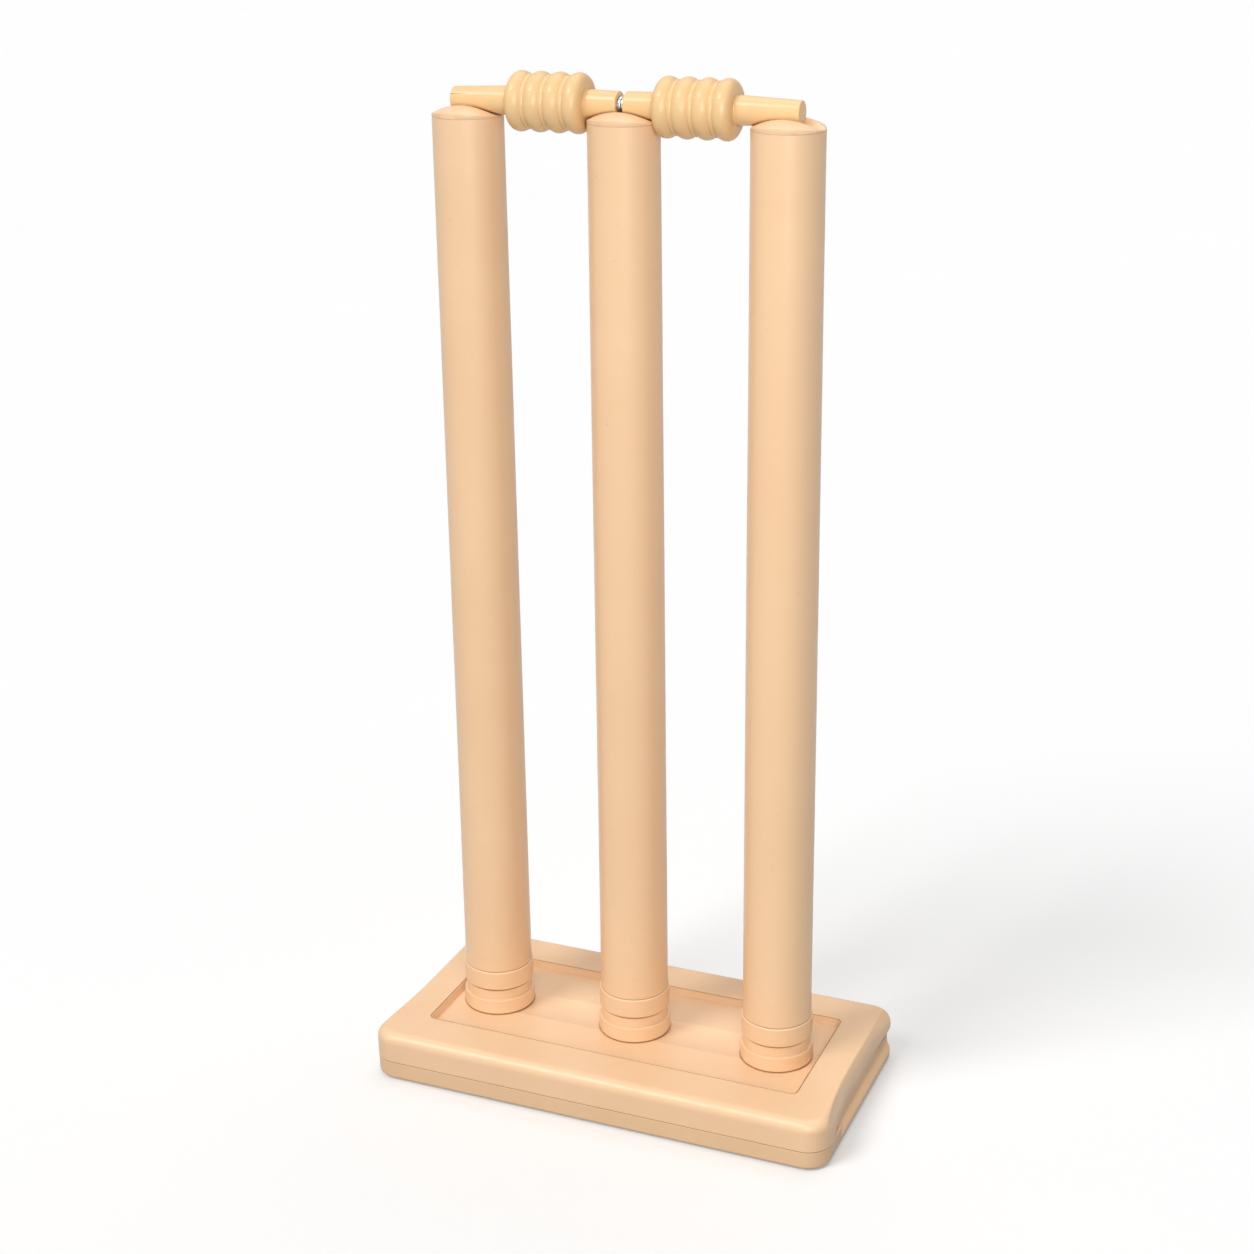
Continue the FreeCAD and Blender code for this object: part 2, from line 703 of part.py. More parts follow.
# Bails: turned about their own length, four ribs with a thin bead in each valley between them.
half_rib = (s.bail_rib_pitch - s.bail_bead_width) / 2
valley_radius = s.bail_rib_radius - s.bail_valley_depth
rib_curve = (half_rib * half_rib + s.bail_valley_depth * s.bail_valley_depth) \
    / (s.bail_valley_depth * 2)
half_bead = s.bail_bead_width / 2
bead_curve = (half_bead * half_bead + s.bail_bead_height * s.bail_bead_height) \
    / (s.bail_bead_height * 2)
barrel_start = s.bail_first_rib - s.bail_shoulder_radius
barrel_end = bail_last_rib + s.bail_shoulder_radius
shoulder_foot = s.bail_rib_radius - s.bail_shoulder_radius
bail_tip = barrel_end + s.bail_outer_length
rod_bore = s.rod_radius + s.rod_fit
rod_start = s.rod_gap / 2
rod_end = rod_start + s.rod_length
for name, side in SIDES:
    bail = shape_piece("bail_" + name)
    section = add_sketch(bail, "bail_section_" + name, "XZ_Plane")
    profile = [
        (s.bail_inner_end, rod_bore),
        (s.bail_inner_end, s.bail_inner_end_radius - s.bail_end_round),
        (s.bail_inner_end + s.bail_end_round, s.bail_inner_end_radius, s.bail_end_round, -1),
        (barrel_start, s.bail_inner_root_radius),
        (barrel_start, shoulder_foot),
        (s.bail_first_rib, s.bail_rib_radius, s.bail_shoulder_radius, -1),
    ]
    for gap in range(3):
        crest = s.bail_first_rib + s.bail_rib_pitch * gap
        profile += [
            (crest + half_rib, valley_radius, rib_curve, -1),
            (crest + half_rib + s.bail_bead_width, valley_radius, bead_curve, -1),
            (crest + s.bail_rib_pitch, s.bail_rib_radius, rib_curve, -1),
        ]
    profile += [
        (barrel_end, shoulder_foot, s.bail_shoulder_radius, -1),
        (barrel_end, s.bail_outer_root_radius),
        (bail_tip - s.bail_end_round, s.bail_tip_radius),
        (bail_tip, s.bail_tip_radius - s.bail_end_round, s.bail_end_round, -1),
        (bail_tip, 0.0),
        (rod_end + s.rod_fit, 0.0),
        (rod_end + s.rod_fit, rod_bore),
    ]
    draw_outline(section, profile)
    revolve(bail, section, "H_Axis")

    rod = shape_piece("bail_rod_" + name)
    section = add_sketch(rod, "rod_section_" + name, "XZ_Plane")
    draw_outline(section, (
        (rod_start, 0.0),
        (rod_start, s.rod_radius - s.rod_chamfer),
        (rod_start + s.rod_chamfer, s.rod_radius),
        (rod_end - s.rod_chamfer, s.rod_radius),
        (rod_end, s.rod_radius - s.rod_chamfer),
        (rod_end, 0.0),
    ))
    revolve(rod, section, "H_Axis")

    for piece in (bail, rod):
        if side < 0:
            piece.Placement = FreeCAD.Placement(FreeCAD.Vector(0, 0, 0),
                                                FreeCAD.Rotation(FreeCAD.Vector(0, 0, 1), 180))
        piece.setExpression("Placement.Base.z", bail_height.text)


# Every object is built and every piece is sound before anything is written.
doc.recompute()
for item in doc.Objects:
    if "Invalid" in item.State or "Error" in item.State:
        raise RuntimeError("%s failed: %s" % (item.Label, item.State))
pieces = [item for item in doc.Objects if item.TypeId == "PartDesign::Body"] + [screws]
for piece in pieces:
    if piece.Shape.isNull() or not piece.Shape.isValid():
        raise RuntimeError("%s has no sound shape" % piece.Label)
    expected = len(SCREW_SPOTS) if piece is screws else 1
    if len(piece.Shape.Solids) != expected:
        raise RuntimeError("%s has %d solids" % (piece.Label, len(piece.Shape.Solids)))

os.makedirs("parts", exist_ok=True)
for piece in pieces:
    piece.Shape.exportStep("parts/%s.step" % piece.Label)
    box = piece.Shape.BoundBox
    print("%-24s %10.1f mm3  x %7.2f %7.2f  y %7.2f %7.2f  z %7.2f %7.2f" % (
        piece.Label, piece.Shape.Volume, box.XMin, box.XMax, box.YMin, box.YMax, box.ZMin, box.ZMax))
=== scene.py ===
import math

import bmesh
import bpy
import numpy as np
from mathutils import Matrix, Vector
from mathutils.geometry import tessellate_polygon


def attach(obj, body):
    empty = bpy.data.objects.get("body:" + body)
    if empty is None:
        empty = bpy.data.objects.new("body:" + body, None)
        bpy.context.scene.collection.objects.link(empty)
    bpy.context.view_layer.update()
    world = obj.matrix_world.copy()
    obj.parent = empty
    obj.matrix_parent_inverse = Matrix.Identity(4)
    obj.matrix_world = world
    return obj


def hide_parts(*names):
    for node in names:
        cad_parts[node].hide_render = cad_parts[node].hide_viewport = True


# A free-standing practice wicket: three hollow stumps plugged into a weighted base, and two
# ribbed bails in the grooves of their caps. Pieces are laid out in millimetres and built in metres.
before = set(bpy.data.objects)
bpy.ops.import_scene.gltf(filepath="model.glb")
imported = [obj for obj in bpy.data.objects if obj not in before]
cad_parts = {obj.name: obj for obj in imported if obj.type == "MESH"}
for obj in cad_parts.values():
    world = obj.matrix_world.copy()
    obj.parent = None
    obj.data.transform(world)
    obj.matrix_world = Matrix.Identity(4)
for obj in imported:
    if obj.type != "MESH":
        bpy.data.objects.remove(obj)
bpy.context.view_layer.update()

MM = 0.001
SIDES = (("left", -1), ("right", 1))
STUMPS = (("left", -1), ("middle", 0), ("right", 1))
PITCH = 94.0

# base
HALF = (149.0, 75.0)
CORNER = 15.0
GROUND_GAP = 0.8
TRAY_EDGE = 2.0
SEAM = 12.8
TOP = 31.5
TOP_EDGE = 6.5
PANEL = (121.5, 45.5)
PANEL_CORNER = 4.0
PANEL_FLOOR = 27.0
PANEL_SLOPE = (TOP - PANEL_FLOOR) * math.tan(math.radians(20))
CEILING = 24.4
TRAY_FLOOR = 3.4
INNER = (141.4, 72.4)
INNER_CORNER = 12.4
SOCKET = 13.15
SOCKET_WALL = 15.75
GRIP_FRONT = -40.0
BOSS_RADIUS = 4.6
BOSS_BOTTOM = 5.6
SCREW_BORE = 1.8
SCREW_HEAD_BORE = 3.5
SCREW_SPOTS = [(108.0 * along, 64.0 * side) for side in (-1, 1) for along in (-1, 0, 1)]
CRADLE = (29.1, 58.1)
CRADLE_WALL = 1.8
CRADLE_TOP = 8.4
PAD_PLACE = (130.0, 55.0)
PAD_RADIUS = 8.0
PAD_BED = 8.1

# stumps
TUBE_TOP = 587.5
TUBE_BOTTOM = 57.0
TUBE_RADIUS = 20.95
TUBE_BORE = 18.25
CAP_RADIUS = 20.15
PLUG_RADIUS = 18.15
CAP_PLUG_BOTTOM = 569.1
CAP_BORE = 16.15
CAP_CEILING = 585.1
STEM_RADIUS = 13.0
STEM_BORE = 10.4
STEM_BOTTOM = 7.0
COLLAR_RADIUS = 21.75
LOWER_COLLAR_TOP = 37.0
UPPER_COLLAR_BOTTOM = 44.5
NECK_RADIUS = 20.5
FOOT_PLUG_TOP = 85.0
ARCH_TOP = 594.5
GROOVE_RADIUS = 8.7
BAIL_HEIGHT = 596.5

# bails
RIDGE = math.radians(153)
CREST = 26.0
RIB_PITCH = 11.5
RIB_RADIUS = 16.5
VALLEY_RADIUS = 14.5
ROD_RADIUS = 4.75
ROD_END = 58.15
ROD_BORE = 4.8
ROD_BORE_END = 58.2

# light and camera
FLOOR_GLOW = 0.31
SKY_LIGHT = 0.21
FRAME_PIXELS = 1254
FOCAL_PIXELS = 2231.39
CAMERA_PLACE = (473.68, -1131.91, 759.59)
CAMERA_ANGLES = (22.792, 20.732, -0.754)

# Faces that meet at more than this angle shade as an edge.
SHARP_ANGLE = math.radians(40)

# The angles of the points round a turned piece.
TURN = np.linspace(0, 2 * math.pi, 129)[:-1]


# Outlines.
def soften(corners, closed=True, steps=4):
    """Rounds the corners of an outline; a corner is (a, b) or (a, b, radius)."""
    corners = [tuple(corner) + (0.0,) * (3 - len(corner)) for corner in corners]
    count = len(corners)
    points = []
    for index, (a, b, radius) in enumerate(corners):
        here = np.array((a, b))
        if radius <= 0 or (not closed and index in (0, count - 1)):
            points.append(here)
            continue
        before = np.array(corners[index - 1][:2]) - here
        after = np.array(corners[(index + 1) % count][:2]) - here
        long_before, long_after = np.linalg.norm(before), np.linalg.norm(after)
        before, after = before / long_before, after / long_after
        bend = math.pi - math.acos(max(-1.0, min(1.0, float(before @ after))))
        cut = min(radius * math.tan(bend / 2), 0.45 * long_before, 0.45 * long_after)
        for part in np.linspace(0, 1, steps + 1):
            points.append(here + before * cut * (1 - part) ** 2 + after * cut * part ** 2)
    return points


def brace(points, closed=True, gap=0.25, longest=None):
    """Adds points close to the ends of long runs, so that they shade flat, and along very long ones."""
    result = []
    count = len(points)
    for index in range(count if closed else count - 1):
        start, end = points[index], points[(index + 1) % count]
        length = float(np.linalg.norm(end - start))
        result.append(start)
        if length < gap * 6:
            continue
        inner = [gap / length]
        if longest and length > longest:
            inner += list(np.linspace(0, 1, int(length / longest) + 1)[1:-1])
        inner.append(1 - gap / length)
        result += [start + (end - start) * part for part in inner]
    if not closed:
        result.append(points[-1])
    return result


def arc(centre, radius, start, end, steps):
    """Points on an arc between two angles in degrees, ends included."""
    angles = np.radians(np.linspace(start, end, steps + 1))
    return [np.array((centre[0] + radius * math.cos(a), centre[1] + radius * math.sin(a)))
            for a in angles]


def ease(value, low, high):
    part = min(1.0, max(0.0, (value - low) / (high - low)))
    return part * part * (3 - 2 * part)


# Building a mesh piece by piece.
class Shell:
    """Points, in millimetres, and faces of one piece while it is put together."""

    def __init__(self):
        self.points = []
        self.faces = []

    def row(self, points):
        first = len(self.points)
        self.points.extend(tuple(float(part) for part in point) for point in points)
        return list(range(first, len(self.points)))

    def bridge(self, low, high):
        for index in range(len(low)):
            after = (index + 1) % len(low)
            self.faces.append((low[index], low[after], high[after], high[index]))

    def fan(self, ring, tip):
        for index in range(len(ring)):
            self.faces.append((ring[index], ring[(index + 1) % len(ring)], tip))

    def stack(self, rings):
        rows = [self.row(ring) for ring in rings]
        for low, high in zip(rows, rows[1:]):
            self.bridge(low, high)
        return rows

    def fill(self, outer, holes=()):
        """A flat face inside one ring and around the others."""
        loops = [outer] + list(holes)
        flat = [[Vector(self.points[number]) for number in loop] for loop in loops]
        numbers = [number for loop in loops for number in loop]
        for triangle in tessellate_polygon(flat):
            self.faces.append(tuple(numbers[corner] for corner in triangle))

    def turn(self, outline, place, angles=TURN):
        """A closed outline of (radius, height) turned about an axis."""
        rows = []
        for radius, height in outline:
            spots = [0.0] if radius < 1e-6 else angles
            rows.append(self.row([place(max(radius, 0.0), angle, height) for angle in spots]))
        for low, high in zip(rows, rows[1:] + rows[:1]):
            if len(low) > 1 and len(high) > 1:
                self.bridge(low, high)
            elif len(low) > 1:
                self.fan(low, high[0])
            elif len(high) > 1:
                self.fan(high, low[0])

    def piece(self, name, body, slot, material, nodes):
        mesh = bpy.data.meshes.new(name)
        mesh.from_pydata([[part * MM for part in point] for point in self.points], [], self.faces)
        shape = bmesh.new()
        shape.from_mesh(mesh)
        bmesh.ops.recalc_face_normals(shape, faces=shape.faces)
        shape.to_mesh(mesh)
        shape.free()
        mesh.shade_smooth()
        mesh.set_sharp_from_angle(angle=SHARP_ANGLE)
        mesh.materials.append(material)
        thing = bpy.data.objects.new(name, mesh)
        bpy.context.scene.collection.objects.link(thing)
        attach(thing, body)
        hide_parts(*nodes)


def upright(x, y, wave=None):
    """Places a point of a turned piece that stands at (x, y)."""
    def place(radius, angle, height):
        if wave:
            radius += wave(radius, angle, height)
        return (x + radius * math.cos(angle), y + radius * math.sin(angle), height)
    return place


# Materials.
class Look:
    """A procedural material and short ways to add its nodes."""

    def __init__(self, name):
        self.material = bpy.data.materials.new(name)
        self.material.use_nodes = True
        self.tree = self.material.node_tree
        self.shader = self.tree.nodes["Principled BSDF"]
        self.place = self.add("ShaderNodeTexCoord").outputs["Object"]

    def add(self, kind, **values):
        node = self.tree.nodes.new(kind)
        for key, value in values.items():
            setattr(node, key, value)
        return node

    def link(self, source, target):
        self.tree.links.new(source, target)

    def stretched(self, scale):
        node = self.add("ShaderNodeMapping")
        node.inputs["Scale"].default_value = scale
        self.link(self.place, node.inputs["Vector"])
        return node.outputs["Vector"]

    def noise(self, scale, detail=3.0, rough=0.5, where=None):
        node = self.add("ShaderNodeTexNoise")
        node.inputs["Scale"].default_value = scale
        node.inputs["Detail"].default_value = detail
        node.inputs["Roughness"].default_value = rough
        self.link(where or self.place, node.inputs["Vector"])
        return node.outputs["Fac"]

    def spread(self, source, low, high, start, end):
        """Maps a value from one range to another."""
        node = self.add("ShaderNodeMapRange")
        node.inputs["From Min"].default_value = low
        node.inputs["From Max"].default_value = high
        node.inputs["To Min"].default_value = start
        node.inputs["To Max"].default_value = end
        self.link(source, node.inputs["Value"])
        return node.outputs["Result"]

    def mix(self, factor, first, second, blend="MIX"):
        node = self.add("ShaderNodeMix", data_type="RGBA", blend_type=blend)
        for socket, value in ((node.inputs[0], factor), (node.inputs[6], first),
                              (node.inputs[7], second)):
            if isinstance(value, bpy.types.NodeSocket):
                self.link(value, socket)
            elif isinstance(value, float):
                socket.default_value = value
            else:
                socket.default_value = (*value, 1.0)
        return node.outputs[2]

    def crevice_shade(self, reach):
        """1 in narrow grooves and seams, where the colour is darkened as painted shade; 0 on open
        surfaces.
        """
        node = self.add("ShaderNodeAmbientOcclusion", samples=8)
        node.inputs["Distance"].default_value = reach
        return self.spread(node.outputs["AO"], 0.35, 0.85, 1.0, 0.0)

    def bump(self, *layers):
        """Layers of (height, strength, distance), the coarsest first."""
        normal = None
        for height, strength, distance in layers:
            node = self.add("ShaderNodeBump")
            node.inputs["Strength"].default_value = strength
            node.inputs["Distance"].default_value = distance
            self.link(height, node.inputs["Height"])
            if normal:
                self.link(normal, node.inputs["Normal"])
            normal = node.outputs["Normal"]
        self.link(normal, self.shader.inputs["Normal"])

    def set(self, **values):
        for key, value in values.items():
            self.shader.inputs[key.replace("_", " ")].default_value = value


def moulded_plastic(name, colour, deep, rough, streaks):
    """Satin plastic: cloudy colour, flow streaks, specks, a fine grain and painted shade in narrow gaps.
    """
    look = Look(name)
    clouds = look.noise(14.0, 4.0, 0.55)
    fine = look.noise(160.0, 3.0, 0.6)
    tone = look.mix(look.spread(clouds, 0.35, 0.65, 0.0, 1.0), colour, deep)
    tone = look.mix(look.spread(fine, 0.3, 0.7, 0.0, 0.35), tone, deep)
    flow = look.noise(30.0, 2.0, 0.5, look.stretched(streaks))
    tone = look.mix(look.spread(flow, 0.45, 0.75, 0.0, 0.30), tone, deep)
    specks = look.noise(420.0, 1.0, 0.5)
    tone = look.mix(look.spread(specks, 0.77, 0.82, 0.0, 0.25), tone, (0.45, 0.27, 0.13))
    # Painted shade: the colour is multiplied darker where ambient occlusion finds narrow gaps and seams.
    tone = look.mix(look.crevice_shade(0.0016), tone, look.mix(1.0, tone, (0.52, 0.42, 0.33), "MULTIPLY"))
    look.link(tone, look.shader.inputs["Base Color"])
    look.link(look.spread(look.noise(55.0, 4.0, 0.6), 0.3, 0.7, rough - 0.05, rough + 0.06),
              look.shader.inputs["Roughness"])
    grain = look.noise(1500.0, 2.0, 0.6)
    look.bump((flow, 0.25, 0.0004), (fine, 0.18, 0.0003), (grain, 0.10, 0.0001))
    look.set(IOR=1.47, Specular_IOR_Level=0.5)
    return look.material


def turned_steel(name, colour, rough, rings):
    """Bright steel with the fine rings that a lathe leaves."""
    look = Look(name)
    lines = look.noise(900.0, 3.0, 0.6, look.stretched(rings))
    wear = look.noise(120.0, 4.0, 0.6)
    dark = tuple(part * 0.72 for part in colour)
    look.link(look.mix(look.spread(wear, 0.35, 0.7, 0.0, 1.0), colour, dark),
              look.shader.inputs["Base Color"])
    look.link(look.spread(lines, 0.3, 0.7, rough - 0.06, rough + 0.10),
              look.shader.inputs["Roughness"])
    look.bump((lines, 0.3, 0.0001), (wear, 0.15, 0.0002))
    look.set(Metallic=1.0)
    return look.material


def rough_rubber(name):
    """Matt black rubber with a pebbled skin and dust in it."""
    look = Look(name)
    dust = look.noise(90.0, 4.0, 0.6)
    look.link(look.mix(look.spread(dust, 0.45, 0.75, 0.0, 1.0), (0.018, 0.018, 0.019),
                       (0.075, 0.07, 0.062)), look.shader.inputs["Base Color"])
    look.link(look.spread(dust, 0.3, 0.7, 0.72, 0.9), look.shader.inputs["Roughness"])
    look.bump((look.noise(1100.0, 2.0, 0.5), 0.5, 0.0002))
    return look.material


STUMP_PLASTIC = moulded_plastic("stump_plastic", (0.88, 0.595, 0.36), (0.85, 0.56, 0.33), 0.34,
                                (1.0, 1.0, 0.035))
BASE_PLASTIC = moulded_plastic("base_plastic", (0.86, 0.585, 0.36), (0.82, 0.545, 0.325), 0.36,
                               (0.12, 1.0, 1.0))
# The tray's plastic is the base plastic a little darker and yellower; the darkening is painted shade for
# the tray's low wall by the floor.
TRAY_PLASTIC = moulded_plastic("tray_plastic", (0.80, 0.54, 0.325), (0.76, 0.50, 0.29), 0.40,
                               (0.12, 1.0, 1.0))
BAIL_PLASTIC = moulded_plastic("bail_plastic", (0.83, 0.56, 0.28), (0.80, 0.525, 0.255), 0.34,
                               (0.08, 1.0, 1.0))
ROD_STEEL = turned_steel("rod_steel", (0.72, 0.71, 0.69), 0.24, (1.0, 0.02, 0.02))
PLATE_STEEL = turned_steel("plate_steel", (0.34, 0.34, 0.35), 0.42, (0.05, 1.0, 1.0))
SCREW_STEEL = turned_steel("screw_steel", (0.60, 0.60, 0.57), 0.30, (1.0, 1.0, 1.0))
RUBBER = rough_rubber("pad_rubber")


# Base. Its rings have points at the same places at every height, closest where the shape changes.
STRAIGHT_END = HALF[1] - CORNER
END_STEPS = [y / STRAIGHT_END for y in
             (-60, -56, -52, -48, -45, -42.5, -41.3, -40.8, -40.5, -40.25, -40.0, -39.75, -39.5, -39.2,
              -38.6, -37.5, -35,
              -32, -29, -26, -23.5, -21.5, -20.3, -19.2, -17.5, -16, -14.5, -13.2, -12.2, -11, -8, -4,
              0, 4, 8, 12, 16, 19, 21, 22.5, 23.6, 25, 26.5, 27.6, 28.8, 31, 34, 38, 42, 46, 50, 54,
              57, 60)]
LONG_STEPS = list(np.linspace(-1, 1, 56))


def corner_points(x, y, radius, start):
    angles = np.radians(np.linspace(start, start + 90, 18)[1:-1])
    return [(x + radius * math.cos(a), y + radius * math.sin(a)) for a in angles]


def rounded(half, corner, inset, z, shift=0.0):
    """A ring round a rectangle with round corners, from the front end of the right side."""
    half_x, half_y = half[0] - inset, half[1] - inset
    radius = max(corner - inset, 0.4)
    straight_x, straight_y = half_x - radius, half_y - radius
    ring = [(half_x, straight_y * step) for step in END_STEPS]
    ring += corner_points(straight_x, straight_y, radius, 0)
    ring += [(straight_x * step, half_y) for step in reversed(LONG_STEPS)]
    ring += corner_points(-straight_x, straight_y, radius, 90)
    ring += [(-half_x, straight_y * step) for step in reversed(END_STEPS)]
    ring += corner_points(-straight_x, -straight_y, radius, 180)
    ring += [(straight_x * step, -half_y) for step in LONG_STEPS]
    ring += corner_points(straight_x, -straight_y, radius, 270)
    return [(x + shift, y, z) for x, y in ring]


def ripple(x, y, z):
    """The slight unevenness of a large moulding, in millimetres."""
    return (0.05 * math.sin(x * 0.071 + 1.3) * math.sin(y * 0.093 + z * 0.21)
            + 0.035 * math.sin(x * 0.173 + z * 0.33 + 0.4) + 0.03 * math.sin(y * 0.151 - 0.8))


# How far the end walls stand back, as points of (height, depth): the scoop in the cover, the same
# at its rear corner, and the groove in the tray above the rounded flange.
COVER_SCOOP = ((12.0, 4.6), (14.0, 4.5), (16.5, 4.1), (19.0, 3.7), (21.5, 3.45), (24.0, 3.55),
               (26.0, 3.9), (28.0, 4.7), (30.0, 5.85), (31.0, 6.5), (31.35, 6.9), (31.5, 7.5))
REAR_SCOOP = ((12.0, 5.4), (14.0, 5.0), (16.5, 3.6), (19.0, 2.1), (21.5, 1.5), (24.0, 1.6),
              (26.0, 2.6), (28.0, 4.1), (30.0, 5.9), (31.0, 6.8), (31.35, 7.1), (31.5, 7.6))
TRAY_GROOVE = ((4.6, 0.0), (5.2, 0.15), (5.8, 0.55), (6.3, 1.2), (6.65, 2.2), (6.85, 3.2), (7.2, 3.9),
               (8.0, 4.4), (9.5, 4.6), (12.8, 4.7))
# How much of its depth the scoop's upper edge has, as points of (y, share).
CREASE_START = ((-75.0, 0.0), (-70.0, 0.08), (-65.0, 0.22), (-60.0, 0.36), (-54.0, 0.50), (-47.0, 0.63),
                (-38.0, 0.76), (-29.0, 0.86), (-20.0, 0.93), (-8.0, 0.98), (4.0, 1.0))
SCOOP_UPPER = (23.0, 29.0)
SCOOP_BEGIN = (-64.0, -16.0)
SCOOP_REAR = (36.0, 66.0)
GROOVE_BEGIN = (GRIP_FRONT - 0.8, GRIP_FRONT + 0.8)
# Short places where the seam stands open, as (y, half length).
GAP_MARKS = ((-17.0, 3.6), (25.2, 2.6))


def between(table, where):
    places, values = zip(*table)
    return float(np.interp(where, places, values))


def cover_point(x, y, z):
    """A point of the cover's outer wall, set back over the long scoop of the finger grip."""
    high = ease(z, *SCOOP_UPPER)
    begin = high * between(CREASE_START, y) + (1 - high) * ease(y, *SCOOP_BEGIN)
    rear = ease(y, *SCOOP_REAR)
    depth = between(COVER_SCOOP, z) * (1 - rear) + between(REAR_SCOOP, z) * rear
    limit = HALF[0] - depth * begin
    if abs(x) > limit:
        x = math.copysign(limit + 0.04 * (abs(x) - limit), x)
    return (x, y, z)


def tray_point(x, y, z, lowered):
    """A point of the tray's outer wall; its groove starts abruptly and runs through the corner.

    lowered is 1 at the wall's upper edge, where the seam stands open in places.
    """
    depth = between(TRAY_GROOVE, z) * ease(y, *GROOVE_BEGIN)
    limit = HALF[0] - depth
    if depth > 0 and abs(x) > limit:
        if lowered > 0:
            for middle, reach in GAP_MARKS:
                near = ease(1 - abs(y - middle) / reach, 0.0, 0.5)
                limit -= 0.9 * near * lowered
                z -= 0.45 * near * lowered
        x = math.copysign(limit, x)
    return (x, y, z)


def settle(ring):
    """Lets the broad top faces sag and swell by a few hundredths of a millimetre."""
    return [(x, y, z + 0.5 * ripple(x, y, 0.0) if z > 20 and abs(z - PANEL_FLOOR) > 0.01 else z)
            for x, y, z in ring]


def make_cover():
    shell = Shell()
    side = soften([(5.0, SEAM), (0.0, SEAM, 0.35), (0.0, TOP)], closed=False)[1:-1]
    side += [np.array((0.0, z)) for z in np.arange(13.8, 24.8, 1.0)]
    side += arc((TOP_EDGE, TOP - TOP_EDGE), -TOP_EDGE, 0, -90, 14)
    rings = []
    for inset, z in side:
        ring = [cover_point(*point) for point in rounded(HALF, CORNER, inset, z)]
        if z > SEAM + 0.5:
            ring = [(x * (1 - 0.0001 * max(0, ripple(x, y, z))),
                     y * (1 - 0.0015 * abs(ripple(x, y, z))), z) for x, y, z in ring]
        rings.append(ring)
    flat = [(TOP_EDGE + 0.4, TOP), (TOP_EDGE + 2.0, TOP), (TOP_EDGE + 2.3, TOP)]
    rings += [[cover_point(*point) for point in rounded(HALF, CORNER, inset, z)]
              for inset, z in flat]
    panel = brace(soften([(-2.0, TOP), (-0.75, TOP, 0.15), (-0.6, TOP - 0.7, 0.1),
                          (-0.05, TOP - 0.7, 0.1), (0.1, TOP - 0.12, 0.12), (0.4, TOP - 0.12, 0.2),
                          (PANEL_SLOPE, PANEL_FLOOR, 0.7),
                          (PANEL_SLOPE + 3.0, PANEL_FLOOR)], closed=False, steps=5), closed=False)
    rings += [rounded(PANEL, PANEL_CORNER, inset, z) for inset, z in panel]
    rings = [settle(ring) for ring in rings]
    rows = shell.stack(rings)

    bores = []
    ceilings = []
    for _, place in STUMPS:
        spot = upright(PITCH * place, 0.0)
        wall = [(SOCKET + 0.35, PANEL_FLOOR), (SOCKET + 0.1, PANEL_FLOOR - 0.1),
                (SOCKET, PANEL_FLOOR - 0.35), (SOCKET, PANEL_FLOOR - 0.8),
                (SOCKET, TRAY_FLOOR + 0.6), (SOCKET + 0.3, TRAY_FLOOR),
                (SOCKET_WALL - 0.3, TRAY_FLOOR), (SOCKET_WALL, TRAY_FLOOR + 0.4),
                (SOCKET_WALL, CEILING)]
        tube = shell.stack([[spot(radius, angle, z) for angle in TURN] for radius, z in wall])
        bores.append(tube[0])
        ceilings.append(tube[-1])
    shell.fill(rows[-1], bores)
    inner = shell.stack([rounded(INNER, INNER_CORNER, 0.0, z) for z in (SEAM, SEAM + 1, CEILING)])
    shell.bridge(rows[0], inner[0])
    shell.fill(inner[-1], ceilings)
    for x, y in SCREW_SPOTS:
        boss = soften([(SCREW_BORE, BOSS_BOTTOM), (BOSS_RADIUS, BOSS_BOTTOM, 0.3),
                       (BOSS_RADIUS, CEILING + 1), (SCREW_BORE, CEILING + 1)])
        shell.turn(boss, upright(x, y), TURN[::4])
    return shell


def draft(z):
    """The tray's wall leans in towards the floor, as it has to leave its mould."""
    return 0.15 + 0.02 * (SEAM - z)


